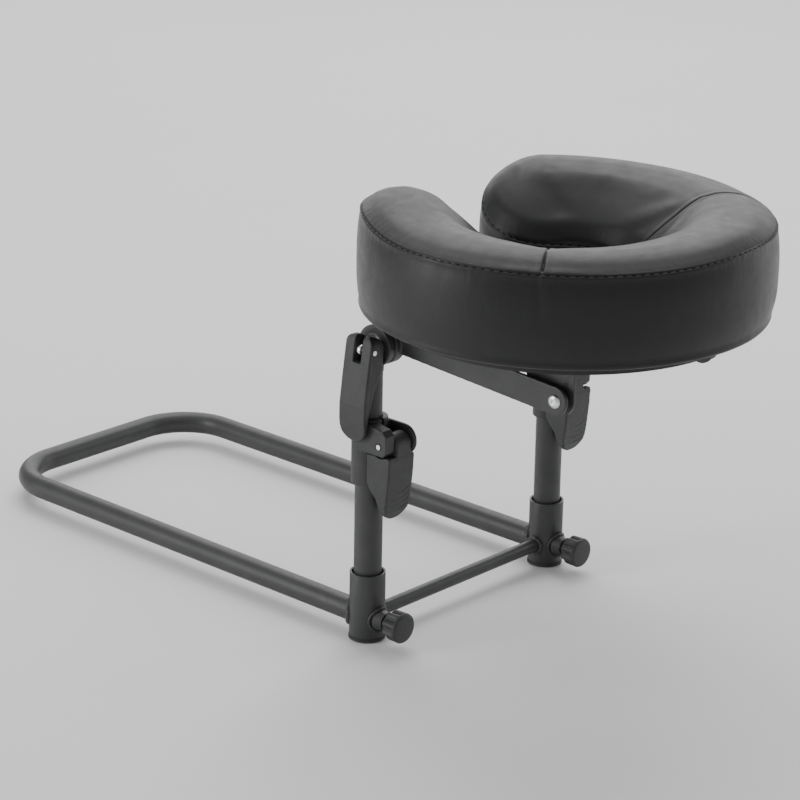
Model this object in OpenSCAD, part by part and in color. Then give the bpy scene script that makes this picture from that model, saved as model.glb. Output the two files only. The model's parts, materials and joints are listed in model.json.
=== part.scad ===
// Mattress-top face cradle: a horseshoe cushion on a tilting, height-adjustable
// two-post frame whose flat U loop slides under a mattress.
// Frame: origin midway between the two posts on the axis of the loop tube.
// +X runs from the cam-lever side to the plain side, +Y towards the mattress, +Z up.
// Side pieces are drawn on the cam-lever (-X) side and mirrored for the other.

/* [Loop] */
// Distance between the two post axes
post_gap = 215; // [205:1:240]
// Length of the loop, post axes to back bar axis
loop_len = 432; // [380:1:480]
// Outside diameter of the loop tube
loop_d = 19; // [16:0.5:22]
// Wall of the loop tube
loop_wall = 1.5; // [1:0.1:2.5]
// Bend radius of the loop corners, on the tube axis
bend_r = 50; // [35:1:70]
// Diameter of the cross bar between the sockets
cross_d = 11; // [8:0.5:14]

/* [Sockets] */
// Outside diameter of the sockets
socket_d = 28; // [27.5:0.5:30]
// Bottom of the sockets
socket_z0 = -16; // [-20:1:-14]
// Top of the sockets
socket_z1 = 37; // [30:1:42]
// Diameter of the clamp knobs
knob_d = 24.5; // [20:0.5:30]
// Number of grip lobes on a knob
knob_lobes = 8; // [6:1:10]

/* [Posts] */
// Outside diameter of the posts
post_d = 22; // [22:0.1:22.4]
// Wall of the posts
post_wall = 1.2; // [1:0.1:1.2]
// Top end of the posts
post_z1 = 150; // [145:1:152]
// Outside diameter of the risers that slide in the posts
riser_d = 19; // [18.6:0.1:19]
// Wall of the risers
riser_wall = 1.5; // [1.2:0.1:2]

/* [Flip clamps] */
// Outside diameter of the clamp sleeves
sleeve_d = 28; // [27:0.5:28]
// Bottom of the clamp sleeves
sleeve_z0 = 111; // [105:1:115]
// Top of the clamp sleeves
sleeve_z1 = 165; // [163:1:166]
// Distance of the lever pin in front of the post axis
flip_y = 22; // [22:0.5:23]
// Height of the lever pin
flip_z = 148; // [147:0.5:149]
// Width of a flip lever
flip_w = 28.4; // [27:0.2:28.6]

/* [Tilt hub] */
// Height of the tilt axis
hub_z = 219.5; // [219:0.5:221]
// Radius of the hub discs
hub_r = 16.2; // [15:0.1:16.2]
// Diameter of the draw rod through the hub
rod_d = 6; // [5:0.5:6]
// Width of the cam lever
cam_w = 26.4; // [25:0.2:27]
// Radius of the cam around its pin
cam_r = 11.5; // [11:0.1:11.5]

/* [Arms] */
// Height of the arm bars
arm_h = 22; // [18:0.5:22]
// Thickness of the arm bars
arm_t = 3; // [2.5:0.1:3]
// Distance of the rivet axis in front of the tilt axis
rivet_y = 166.5; // [162:0.5:172]
// Height of the rivet axis
rivet_z = 214; // [213:0.2:216]

/* [Platform] */
// Underside of the platform board
board_z0 = 242; // [241:0.5:243]
// Thickness of the platform board
board_t = 6; // [5:0.5:6]
// Outer radius of the crescent board
board_ro = 136; // [130:1:142]
// Inner radius of the crescent board
board_ri = 72; // [66:1:76]

/* [Cushion] */
// Distance of the cushion centre in front of the post axes
cushion_y = 98; // [95:1:101]
// Outer radius of the cushion
cushion_ro = 154.5; // [150:0.5:158]
// Inner radius at the foot of the face opening
cushion_ri = 54; // [50:0.5:58]
// Underside of the cushion
cushion_z0 = 251; // [251:0.5:252]
// Height of the outer top seam above the underside
seam_h = 70; // [62:1:76]
// Height of the crown above the outer top seam
crown_h = 12.5; // [8:0.5:16]
// Height of the inner seam above the underside
inner_seam_h = 31; // [26:1:40]
// Angle of a lobe's rounded end from the front of the cushion
lobe_a = 138.4; // [130:0.2:142]
// Angle of the cross seams from the front of the cushion
seam_a = 57; // [45:1:70]
// Thickness of the padded leather cover
cover_t = 1.5; // [1:0.1:2]

/* [Hidden] */
$fn = 96;

eps = 1;              // overshoot of every cut
fit = 0.05;           // radial running clearance of a shaft in its hole
free = 0.3;           // clearance between moving faces
frame_black = [0.12, 0.12, 0.13];
plastic_black = [0.17, 0.17, 0.18];
bright = [0.80, 0.81, 0.83];
leather_black = [0.10, 0.10, 0.11];

post_x = post_gap / 2;
near_x = -post_x;
// sockets, liners and knobs
socket_wall = 1.5;
liner_top = socket_z1 - 7;
flange_h = 2;
stud_r = 4;
boss_y0 = socket_d / 2 - 0.5;
boss_y1 = 21;
boss_r0 = 9;
boss_r1 = 7;
knob_y0 = 22;
knob_neck = 6;
knob_y1 = 40;
knob_face = 3;
stud_y0 = 4 - knob_y1;
flute_r = 2.6;
flute_out = 0.9;
// flip clamps
pin_r = 2;
pin_well_r = 3.2;
pin_well_d = 0.8;
ear_x0 = near_x - sleeve_d / 2;
ear_t = 10;
ear_front = flip_y + 7.5;
ear_drop = 7.6;
ear_sweep_r = 9.6;
inner_ear_x = near_x + 13.6;
inner_ear_t = 3.2;
inner_ear_r = 12;
inner_ear_low = 7.5;
web_back = 3;
web_len = 5;
web_in = 8;
lever_hub_r = 7.6;
lever_mid_x = near_x + 1.8;
lever_z0 = 87;
slit_w = 2;
// tilt hub
cam_x = near_x - 9.8;
cam_slot = 7.6;
cheek_gap = 20.4;
plate_x = cam_x - 4.8;
washer_x = near_x + 2;
washer_t = 1.2;
head_x0 = washer_x + washer_t;
head_x1 = near_x + 8.5;
rod_tip_x = 9 - head_x0;
rod_eye_r = 5;
rod_eye_w = 4.2;
disc_t = 1.1;
disc_r = hub_r - 0.7;
arm_hub_x = near_x + 11;
arm_x = near_x + 16;
arm_hub_rise = 5.7;
arm_boss_x = near_x + 25;
neck_h = 3;
neck_half_w = 6;
neck_lap = 5;           // overlap of the neck's web with the hub disc
neck_z1 = hub_z - 17;
neck_z0 = neck_z1 - neck_h;
riser_z0 = 60;
spreader_d = 16;
// rivets, brackets and screws
rivet_r = 4;
rivet_head_r = 5.5;
rivet_head_h = 2.2;
spacer_t = 4.1;
bracket_x = arm_x + arm_t + spacer_t + 0.4;
bracket_t = 2;
bracket_r = 12;
bracket_y0 = rivet_y + bracket_r;
bracket_y1 = rivet_y - 38;
flange_w = 24;
screw_r = 2;
// fabric strips between the board and the cushion
strip_ri = 94;
strip_ro = 120;
strip_a = 112;
strip_t = (cushion_z0 - board_z0 - board_t) / 2;
end_step = 0.2;       // step between a horseshoe's sides and its round end
// cushion section, radii from the cushion centre
seam_z = cushion_z0 + seam_h;
inner_z = cushion_z0 + inner_seam_h;
crown_z = seam_z + crown_h;

// ---------- helpers ----------
module mirrored_pair() {
    children();
    mirror([1, 0, 0]) children();
}

module along_x(x0, len) {
    translate([x0, 0, 0]) rotate([90, 0, 90]) linear_extrude(len) children();
}

module along_y(y0, len) {
    translate([0, y0, 0]) rotate([-90, 0, 0]) mirror([0, 1, 0])
        linear_extrude(len) children();
}

module rod_x(x0, x1, y, z, r) {
    translate([x0, y, z]) rotate([0, 90, 0]) cylinder(r = r, h = x1 - x0);
}

module rod_y(y0, y1, x, z, r) {
    translate([x, y0, z]) rotate([-90, 0, 0]) cylinder(r = r, h = y1 - y0);
}

module tube(od, id, z0, z1) {
    translate([near_x, 0, z0]) difference() {
        cylinder(d = od, h = z1 - z0);
        translate([0, 0, -eps]) cylinder(d = id, h = z1 - z0 + 2 * eps);
    }
}

// ---------- base frame ----------
// one run of the bent loop as a solid bar of diameter d
module loop_run(d) {
    leg = loop_len - bend_r;
    mirrored_pair() {
        rod_y(0, leg, near_x, 0, d / 2);
        translate([near_x + bend_r, leg, 0])
            rotate([0, 0, 90]) rotate_extrude(angle = 90)
                translate([bend_r, 0]) circle(d = d);
    }
    rod_x(near_x + bend_r, post_x - bend_r, loop_len, 0, d / 2);
}

module loop_tube() {
    color(frame_black) difference() {
        loop_run(loop_d);
        loop_run(loop_d - 2 * loop_wall);
        mirrored_pair() translate([near_x, 0, socket_z0])
            cylinder(d = socket_d, h = socket_z1 - socket_z0);
    }
}

module cross_bar() {
    color(frame_black) difference() {
        rod_x(near_x, post_x, 0, 0, cross_d / 2);
        mirrored_pair() translate([near_x, 0, socket_z0])
            cylinder(d = socket_d, h = socket_z1 - socket_z0);
    }
}

module socket() {
    color(frame_black) difference() {
        tube(socket_d, socket_d - 2 * socket_wall, socket_z0, socket_z1);
        rod_y(-socket_d, 0, near_x, 0, stud_r + fit);
    }
}

module socket_liners() {
    inner_d = post_d + 2 * fit;
    color(plastic_black) mirrored_pair() difference() {
        union() {
            tube(socket_d - 2 * socket_wall, inner_d, socket_z0, liner_top);
            tube(socket_d + 1, inner_d, socket_z0 - flange_h, socket_z0);
        }
        rod_y(-socket_d, 0, near_x, 0, stud_r + fit);
    }
}

module knob_bosses() {
    color(frame_black) mirrored_pair() difference() {
        translate([near_x, -boss_y1, 0]) rotate([-90, 0, 0])
            cylinder(r1 = boss_r1, r2 = boss_r0, h = boss_y1 - boss_y0);
        translate([near_x, 0, -socket_d]) cylinder(d = socket_d, h = 2 * socket_d);
        rod_y(-boss_y1 - eps, 0, near_x, 0, stud_r + fit);
    }
}

// ---------- clamp knobs ----------
module knob() {
    rim_y = -knob_y0 - knob_neck;
    color(plastic_black) difference() {
        union() {
            rod_y(-knob_y1, rim_y, near_x, 0, knob_d / 2);
            rod_y(rim_y, -knob_y0, near_x, 0, boss_r1);
        }
        for (i = [0 : knob_lobes - 1])
            translate([near_x, 0, 0]) rotate([0, (i + 0.5) * 360 / knob_lobes, 0])
                rod_y(knob_face - knob_y1, rim_y + eps, knob_d / 2 + flute_out, 0, flute_r);
        rod_y(stud_y0, 0, near_x, 0, stud_r);
    }
}

module knob_stud() {
    color(bright) rod_y(stud_y0, -post_d / 2 - free, near_x, 0, stud_r);
}

// ---------- posts ----------
module post() {
    color(frame_black)
        tube(post_d, post_d - 2 * post_wall, socket_z0, post_z1);
}

module post_end_caps() {
    plug_h = 10;
    color(plastic_black) mirrored_pair() {
        translate([near_x, 0, socket_z0 - flange_h]) cylinder(d = post_d, h = flange_h);
        translate([near_x, 0, socket_z0])
            cylinder(r = post_d / 2 - post_wall - fit, h = plug_h);
    }
}

// outline of the thick outer ear, in Y and Z
module ear_outline() {
    back = 3;
    rise = 14;
    top = flip_z + rise;
    polygon([[-back, flip_z - ear_drop], [-ear_front + 3, flip_z - ear_drop],
        [-ear_front, flip_z - 4], [-ear_front, top - 5],
        [-ear_front + 3.5, top - 1], [-back - 8, top + 1.5], [-back, top + 1.5]]);
}

// outline of the thin inner ear, in Y and Z
module inner_ear_outline() {
    translate([-flip_y, flip_z]) circle(r = inner_ear_r);
    translate([-flip_y, flip_z - inner_ear_low])
        square([flip_y - web_back, inner_ear_r + inner_ear_low]);
}

module clamp() {
    bore_low = post_d + 2 * fit;
    bore_high = riser_d + 2 * fit;
    color(plastic_black) difference() {
        union() {
            translate([near_x, 0, sleeve_z0])
                cylinder(d = sleeve_d, h = sleeve_z1 - sleeve_z0);
            along_x(ear_x0, ear_t) ear_outline();
            along_x(inner_ear_x, inner_ear_t) inner_ear_outline();
            translate([near_x + web_in, -web_back - web_len, flip_z - inner_ear_low])
                cube([inner_ear_x + inner_ear_t - near_x - web_in, web_len,
                    inner_ear_r + inner_ear_low - 1]);
        }
        translate([near_x, 0, sleeve_z0 - eps])
            cylinder(d = bore_low, h = post_z1 - sleeve_z0 + eps);
        translate([near_x, 0, post_z1 - eps])
            cylinder(d = bore_high, h = sleeve_z1 - post_z1 + 2 * eps);
        translate([near_x - slit_w / 2, -flip_y, sleeve_z0 + 12])
            cube([slit_w, flip_y, sleeve_z1 - sleeve_z0]);
        rod_x(ear_x0 - eps, inner_ear_x + inner_ear_t + eps, -flip_y, flip_z, pin_r + fit);
        rod_x(ear_x0 - eps, ear_x0 + pin_well_d, -flip_y, flip_z, pin_well_r);
    }
}

module lever_pins() {
    color(bright) mirrored_pair()
        rod_x(ear_x0 - 0.2, inner_ear_x + inner_ear_t + 0.2, -flip_y, flip_z, pin_r);
}

// ---------- flip levers ----------
// side outline of a flip lever below its ears, in Y and Z
module flip_outline() {
    polygon([[-8.4, 139], [-8.4, 116], [-12.5, 109.5], [-18, 104.5], [-20.5, 98],
        [-21.5, 90], [-23, lever_z0], [-25, lever_z0 + 0.5], [-27.5, 94],
        [-29.5, 108], [-31.3, 125], [-32, 137], [-31, 143], [-flip_y, 143],
        [-18, 139.6]]);
}

module flip_lever() {
    gap = 0.5;
    mid_x0 = ear_x0 + ear_t + gap;
    mid_x1 = inner_ear_x - gap;
    lever_x0 = lever_mid_x - flip_w / 2;
    color(plastic_black) difference() {
        union() {
            intersection() {
                along_x(lever_x0, flip_w) flip_outline();
                along_y(-flip_y * 2, flip_y * 2) {
                    translate([lever_mid_x, lever_z0 + flip_w / 2]) circle(d = flip_w);
                    translate([lever_x0, lever_z0 + flip_w / 2])
                        square([flip_w, flip_w * 2]);
                }
            }
            rod_x(mid_x0, mid_x1, -flip_y, flip_z, lever_hub_r);
            translate([mid_x0, -flip_y - lever_hub_r, flip_z - 14])
                cube([mid_x1 - mid_x0, 2 * lever_hub_r, 14]);
        }
        translate([near_x, 0, 0])
            cylinder(r = sleeve_d / 2 + free, h = sleeve_z1);
        rod_x(ear_x0 - eps, mid_x0, -flip_y, flip_z, ear_sweep_r);
        translate([ear_x0 - eps, -3 * flip_y, flip_z - ear_drop - gap])
            cube([mid_x0 - ear_x0 + eps, 3 * flip_y, sleeve_z1 - flip_z]);
        rod_x(mid_x1, mid_x1 + flip_w, -flip_y, flip_z, inner_ear_r + gap);
        rod_x(ear_x0, inner_ear_x + inner_ear_t, -flip_y, flip_z, pin_r + fit);
    }
}

// ---------- risers and tilt hub ----------
module riser() {
    color(frame_black)
        tube(riser_d, riser_d - 2 * riser_wall, riser_z0, neck_z0);
}

module head() {
    plug_h = 20;
    color(frame_black) difference() {
        union() {
            rod_x(head_x0, head_x1, 0, hub_z, hub_r);
            intersection() {
                translate([near_x, 0, neck_z0])
                    cylinder(d = riser_d, h = neck_h);
                translate([near_x - riser_d, -riser_d, neck_z0 - eps])
                    cube([head_x1 - near_x + riser_d, 2 * riser_d, neck_h + 2 * eps]);
            }
            translate([head_x0, -neck_half_w, neck_z0])
                cube([head_x1 - head_x0, 2 * neck_half_w, neck_h + neck_lap]);
            translate([near_x, 0, neck_z0 - plug_h])
                cylinder(r = riser_d / 2 - riser_wall - fit, h = plug_h);
        }
        rod_x(head_x0 - eps, head_x1 + eps, 0, hub_z, rod_d / 2 + fit);
    }
}

module ring_x(x0, t, r) {
    difference() {
        rod_x(x0, x0 + t, 0, hub_z, r);
        rod_x(x0 - eps, x0 + t + eps, 0, hub_z, rod_d / 2 + fit);
    }
}

module head_washers() {
    color(bright) mirrored_pair() ring_x(washer_x, washer_t, 10);
}

module head_discs() {
    color(plastic_black) mirrored_pair() ring_x(head_x1, disc_t, disc_r);
}

module draw_rod() {
    color(bright) difference() {
        union() {
            rod_x(cam_x, rod_tip_x, 0, hub_z, rod_d / 2);
            rod_y(-rod_eye_w / 2, rod_eye_w / 2, cam_x, hub_z, rod_eye_r);
        }
        rod_y(-cam_w, cam_w, cam_x, hub_z, pin_r + fit);
    }
}

module cam_pin() {
    color(bright) rod_y(-cam_w / 2 - 0.2, cam_w / 2 + 0.2, cam_x, hub_z, pin_r);
}

module cap_nut() {
    nut_x = -washer_x;
    nut_h = 7;
    color(bright) difference() {
        union() {
            translate([nut_x, 0, hub_z]) rotate([0, 90, 0])
                cylinder(r = 7.5, h = nut_h, $fn = 6);
            intersection() {
                translate([nut_x + nut_h, 0, hub_z]) sphere(r = 6.3);
                rod_x(nut_x + nut_h - eps, nut_x + nut_h * 2, 0, hub_z, 6.3);
            }
        }
        rod_x(nut_x - eps, rod_tip_x, 0, hub_z, rod_d / 2);
    }
}

// side outline of the cam lever, in X and Z, measured from the cam pin
module cam_outline() {
    translate([cam_x, hub_z]) {
        intersection() {
            circle(r = cam_r);
            polygon([[-4.9, -cam_r], [-4.9, 0], [-3.5, 8.5], [-1.2, cam_r + 1],
                [cam_r + 1, cam_r + 1], [cam_r + 1, -cam_r]]);
        }
        polygon([[-4.9, 0], [-8.2, -22.5], [-10.7, -41.5], [-11, -54.5], [-9.6, -66],
            [-7.7, -71.5], [-6.6, -69.5], [-5, -52], [-1.4, -39.1], [2.6, -28],
            [7.3, -20.1], [10.2, -13.5], [11, -3.4], [0, 0]]);
    }
}

// front outline of the cam lever, in Y and Z
module cam_front() {
    low = hub_z - 71.5 + cam_w / 2;
    corner = 6;
    translate([0, low]) circle(d = cam_w);
    translate([-cam_w / 2, low]) square([cam_w, hub_z + cam_r - corner - low]);
    for (s = [-1, 1])
        translate([s * (cam_w / 2 - corner), hub_z + cam_r - corner]) circle(r = corner);
    translate([-cam_w / 2 + corner, hub_z]) square([cam_w - 2 * corner, cam_r]);
}

module cam_lever() {
    channel_top = hub_z - 13;
    color(plastic_black) difference() {
        intersection() {
            along_y(-cam_w / 2, cam_w) cam_outline();
            along_x(cam_x - cam_w, 2 * cam_w) cam_front();
        }
        translate([plate_x, -cheek_gap / 2, 0])
            cube([2 * cam_w, cheek_gap, channel_top]);
        translate([cam_x - cam_w, -cam_slot / 2, hub_z - 9])
            cube([2 * cam_w, cam_slot, 3 * cam_r]);
        translate([cam_x - 0.4, -cam_slot / 2, channel_top - eps])
            cube([2 * cam_w, cam_slot, 3 * cam_r]);
        rod_y(-cam_w, cam_w, cam_x, hub_z, pin_r + fit);
    }
}

// ---------- arms ----------
// outline of an arm bar, in Y and Z, running into the round hub boss
module arm_outline() {
    slope = atan((hub_z + arm_hub_rise - rivet_z) / rivet_y);
    len = rivet_y / cos(slope);
    translate([-rivet_y, rivet_z]) {
        circle(d = arm_h);
        rotate(slope) translate([0, -arm_h / 2]) square([len, arm_h]);
    }
}

module arm() {
    color(frame_black) difference() {
        union() {
            along_x(arm_x, arm_t) arm_outline();
            rod_x(arm_hub_x, arm_boss_x, 0, hub_z, hub_r);
        }
        rod_x(arm_hub_x - eps, arm_boss_x + eps, 0, hub_z, rod_d / 2 + fit);
        rod_x(arm_x - eps, arm_x + arm_t + eps, -rivet_y, rivet_z, rivet_r);
    }
}

module arm_discs() {
    color(plastic_black) mirrored_pair() ring_x(arm_hub_x - disc_t, disc_t, disc_r);
}

module spreader_tube() {
    wall = 2;
    color(frame_black) difference() {
        rod_x(arm_boss_x, -arm_boss_x, 0, hub_z, spreader_d / 2);
        rod_x(arm_boss_x - eps, -arm_boss_x + eps, 0, hub_z, spreader_d / 2 - wall);
    }
}

module rivets() {
    tail_h = 2.5;
    tail_r = rivet_r + 1.5;
    tail_x = bracket_x + bracket_t;
    head_chamfer = 1.4;
    dimple_r = 1.6;
    dimple_d = 0.6;
    color(bright) mirrored_pair() {
        rod_x(arm_x - eps, tail_x + tail_h, -rivet_y, rivet_z, rivet_r);
        rod_x(tail_x + free, tail_x + tail_h, -rivet_y, rivet_z, tail_r);
        difference() {
            translate([arm_x, -rivet_y, rivet_z]) rotate([0, -90, 0])
                cylinder(r1 = rivet_head_r, r2 = rivet_head_r - head_chamfer, h = rivet_head_h);
            rod_x(arm_x - 2 * rivet_head_h, arm_x - rivet_head_h + dimple_d,
                -rivet_y, rivet_z, dimple_r);
        }
    }
}

module rivet_spacers() {
    color(plastic_black) mirrored_pair() difference() {
        rod_x(arm_x + arm_t, arm_x + arm_t + spacer_t, -rivet_y, rivet_z, 8);
        rod_x(arm_x, bracket_x, -rivet_y, rivet_z, rivet_r);
    }
}

// ---------- platform ----------
module bracket_outline() {
    lip = board_z0 - bracket_t;
    translate([-rivet_y, rivet_z]) circle(r = bracket_r);
    polygon([[-bracket_y0, rivet_z], [-bracket_y0, lip + 1], [-bracket_y1, lip + 1],
        [-bracket_y1 - 6, rivet_z + 8], [-rivet_y + bracket_r, rivet_z]]);
}

module at_screws() {
    end_gap = 9;
    for (y = [bracket_y0 - end_gap, bracket_y1 + end_gap])
        translate([bracket_x + (bracket_t + flange_w) / 2, -y, 0]) children();
}

module bracket() {
    color(frame_black) difference() {
        union() {
            along_x(bracket_x, bracket_t) bracket_outline();
            translate([bracket_x, -bracket_y0, board_z0 - bracket_t])
                cube([flange_w, bracket_y0 - bracket_y1, bracket_t]);
        }
        rod_x(bracket_x - eps, bracket_x + bracket_t + eps, -rivet_y, rivet_z,
            rivet_r + fit);
        at_screws() translate([0, 0, board_z0 - 2 * bracket_t])
            cylinder(r = screw_r + fit, h = 2 * bracket_t + eps);
    }
}

module bracket_screws() {
    head_h = 2;
    depth = board_t - 2;
    color(bright) mirrored_pair() at_screws() {
        translate([0, 0, board_z0 - bracket_t - head_h])
            cylinder(r1 = 2.6, r2 = 4, h = head_h);
        translate([0, 0, board_z0 - bracket_t]) cylinder(r = screw_r, h = bracket_t + depth);
    }
}

// a flat arc of a ring with straight ends
module open_ring(ro, ri, a) {
    reach = 2 * ro;
    difference() {
        circle(r = ro, $fn = 180);
        circle(r = ri, $fn = 120);
        polygon([[0, 0], reach * [sin(a), -cos(a)],
            reach * [sin(a), 1], reach * [-sin(a), 1],
            reach * [-sin(a), -cos(a)]]);
    }
}

// a flat horseshoe: an open ring with round ends, inset on every side
module horseshoe(ro, ri, a, inset) {
    mid = (ro + ri) / 2;
    end_r = (ro - ri) / 2 - inset - end_step;
    translate([0, -cushion_y]) {
        open_ring(ro - inset, ri + inset, a);
        for (s = [-1, 1])
            translate(mid * [s * sin(a), -cos(a)]) circle(r = end_r);
    }
}

module platform_board() {
    board_a = 128;
    color([0.13, 0.12, 0.12]) difference() {
        translate([0, 0, board_z0]) linear_extrude(board_t)
            horseshoe(board_ro, board_ri, board_a, 0);
        mirrored_pair() at_screws() translate([0, 0, board_z0 - eps])
            cylinder(r = screw_r + fit, h = board_t - 2 + eps);
    }
}

module hook_strips() {
    color([0.08, 0.08, 0.08]) translate([0, 0, board_z0 + board_t])
        linear_extrude(strip_t) translate([0, -cushion_y])
            open_ring(strip_ro, strip_ri, strip_a);
}

module loop_strips() {
    color([0.15, 0.15, 0.15]) translate([0, 0, cushion_z0 - strip_t])
        linear_extrude(strip_t) translate([0, -cushion_y])
            open_ring(strip_ro, strip_ri, strip_a);
}

// ---------- cushion ----------
// section of the cushion: steep outer wall, low crown, slope into the face opening
module cushion_section(inset) {
    top = crown_z - inset;
    polygon([[0, cushion_z0 + inset], [cushion_ro + eps, cushion_z0 + inset],
        [cushion_ro + eps, seam_z - 0.6 * inset], [cushion_ro - 7, top - 6],
        [cushion_ro - 19, top - 1.5], [cushion_ro - 33, top], [cushion_ro - 48, top - 3],
        [cushion_ro - 64, top - 11.5], [cushion_ro - 77, top - 21],
        [cushion_ro - 93, top - 31.5], [cushion_ri, inner_z - inset],
        [0, inner_z - inset]]);
}

module cushion_body(inset) {
    intersection() {
        translate([0, 0, cushion_z0]) linear_extrude(seam_h + crown_h + eps)
            horseshoe(cushion_ro, cushion_ri, lobe_a, inset);
        translate([0, -cushion_y, 0]) rotate_extrude($fn = 180) cushion_section(inset);
    }
}

// everything below the surface that runs from the inner seam to the outer seam
module below_seam() {
    slope_r = cushion_ro - cushion_ri;
    run = 2 * cushion_ro;
    rise = (seam_z - inner_z) / slope_r;
    translate([0, -cushion_y, 0]) rotate_extrude($fn = 180)
        polygon([[0, 0], [run, 0], [run, seam_z + rise * (run - cushion_ro)],
            [cushion_ri, inner_z], [0, inner_z]]);
}

// wedge that holds the front panel, between the two cross seams
module front_wedge() {
    reach = 2 * cushion_ro;
    translate([0, -cushion_y, cushion_z0]) linear_extrude(2 * seam_h)
        polygon([[0, 0], reach * [-sin(seam_a), -cos(seam_a)], [-reach, -reach],
            [reach, -reach], reach * [sin(seam_a), -cos(seam_a)]]);
}

module top_cover() {
    difference() {
        cushion_body(0);
        cushion_body(cover_t);
        below_seam();
    }
}

module cushion_foam() {
    color([0.85, 0.80, 0.55]) cushion_body(cover_t);
}

module cover_base() {
    color(leather_black) translate([0, 0, cushion_z0]) linear_extrude(cover_t)
        horseshoe(cushion_ro, cushion_ri, lobe_a, 0);
}

module cover_band() {
    color(leather_black) intersection() {
        difference() {
            cushion_body(0);
            cushion_body(cover_t);
            translate([-cushion_ro * 2, -cushion_ro * 3, 0])
                cube([cushion_ro * 4, cushion_ro * 5, cushion_z0 + cover_t]);
        }
        below_seam();
    }
}

module front_panel() {
    color(leather_black) intersection() {
        top_cover();
        front_wedge();
    }
}

module side_panel(side) {
    reach = 2 * cushion_ro;
    color(leather_black) difference() {
        top_cover();
        front_wedge();
        translate([side > 0 ? -reach : 0, -2 * reach, 0])
            cube([reach, 3 * reach, 2 * crown_z]);
    }
}

loop_tube();
cross_bar();
socket();  // near_socket
mirror([1, 0, 0]) socket();  // far_socket
socket_liners();
knob_bosses();
knob();  // near_knob
mirror([1, 0, 0]) knob();  // far_knob
knob_stud();  // near_knob_stud
mirror([1, 0, 0]) knob_stud();  // far_knob_stud
post();  // near_post
mirror([1, 0, 0]) post();  // far_post
post_end_caps();
clamp();  // near_clamp
mirror([1, 0, 0]) clamp();  // far_clamp
lever_pins();
flip_lever();  // near_flip_lever
mirror([1, 0, 0]) flip_lever();  // far_flip_lever
riser();  // near_riser
mirror([1, 0, 0]) riser();  // far_riser
head();  // near_head
mirror([1, 0, 0]) head();  // far_head
head_washers();
head_discs();
draw_rod();
cam_pin();
cap_nut();
cam_lever();
arm();  // near_arm
mirror([1, 0, 0]) arm();  // far_arm
arm_discs();
spreader_tube();
rivets();
rivet_spacers();
bracket();  // near_bracket
mirror([1, 0, 0]) bracket();  // far_bracket
bracket_screws();
platform_board();
hook_strips();
loop_strips();
cushion_foam();
cover_base();
cover_band();
front_panel();
side_panel(-1);  // near_panel
side_panel(1);  // far_panel
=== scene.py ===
import json
import math

import bmesh
import bpy
import numpy as np
from mathutils import Matrix, Vector, noise


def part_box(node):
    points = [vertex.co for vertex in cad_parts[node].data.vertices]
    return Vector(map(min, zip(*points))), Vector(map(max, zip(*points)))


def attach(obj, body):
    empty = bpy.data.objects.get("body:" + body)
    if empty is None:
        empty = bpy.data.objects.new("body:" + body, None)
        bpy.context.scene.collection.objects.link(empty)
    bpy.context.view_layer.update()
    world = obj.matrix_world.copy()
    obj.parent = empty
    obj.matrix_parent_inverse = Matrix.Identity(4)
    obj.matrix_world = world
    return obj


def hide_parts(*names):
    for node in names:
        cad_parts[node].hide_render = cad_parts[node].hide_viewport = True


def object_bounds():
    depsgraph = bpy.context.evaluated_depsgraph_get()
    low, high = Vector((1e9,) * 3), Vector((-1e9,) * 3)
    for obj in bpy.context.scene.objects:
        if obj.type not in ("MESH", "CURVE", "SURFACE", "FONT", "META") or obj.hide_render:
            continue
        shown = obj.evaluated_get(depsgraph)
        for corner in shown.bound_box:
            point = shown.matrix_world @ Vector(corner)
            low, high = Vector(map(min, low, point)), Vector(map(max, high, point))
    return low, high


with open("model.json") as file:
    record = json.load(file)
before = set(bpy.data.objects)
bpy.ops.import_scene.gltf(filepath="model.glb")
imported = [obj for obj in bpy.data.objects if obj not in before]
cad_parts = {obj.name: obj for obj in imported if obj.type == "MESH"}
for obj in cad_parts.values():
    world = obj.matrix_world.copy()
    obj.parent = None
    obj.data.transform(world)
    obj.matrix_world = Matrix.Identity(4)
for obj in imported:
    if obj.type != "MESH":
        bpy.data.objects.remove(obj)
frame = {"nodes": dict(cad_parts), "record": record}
CAD_LO, CAD_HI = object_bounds()
NODES = frame["nodes"]
MM = 0.001
scene = bpy.context.scene


def mid(node):
    lo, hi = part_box(node)
    return (lo + hi) / 2


# ---------- camera ----------
def place_camera():
    az, el, roll = (math.radians(a) for a in (-47.646, 19.525, 1.044))
    target = Vector((-0.07403, 0, 0.16859))
    back = Vector((math.sin(az) * math.cos(el), -math.cos(az) * math.cos(el), math.sin(el)))
    right = (-back).cross(Vector((0, 0, 1))).normalized()
    up = right.cross(-back)
    side = math.cos(roll) * right + math.sin(roll) * up
    top = -math.sin(roll) * right + math.cos(roll) * up
    cam = bpy.data.cameras.new("camera")
    cam.lens, cam.sensor_width, cam.clip_start, cam.clip_end = 133.3, 36, 0.05, 100
    ob = bpy.data.objects.new("camera", cam)
    ob.matrix_world = Matrix((
        (side.x, top.x, back.x, 0), (side.y, top.y, back.y, 0),
        (side.z, top.z, back.z, 0), (0, 0, 0, 1)))
    ob.location = target + back * 2.2706
    scene.collection.objects.link(ob)
    scene.camera = ob


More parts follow.
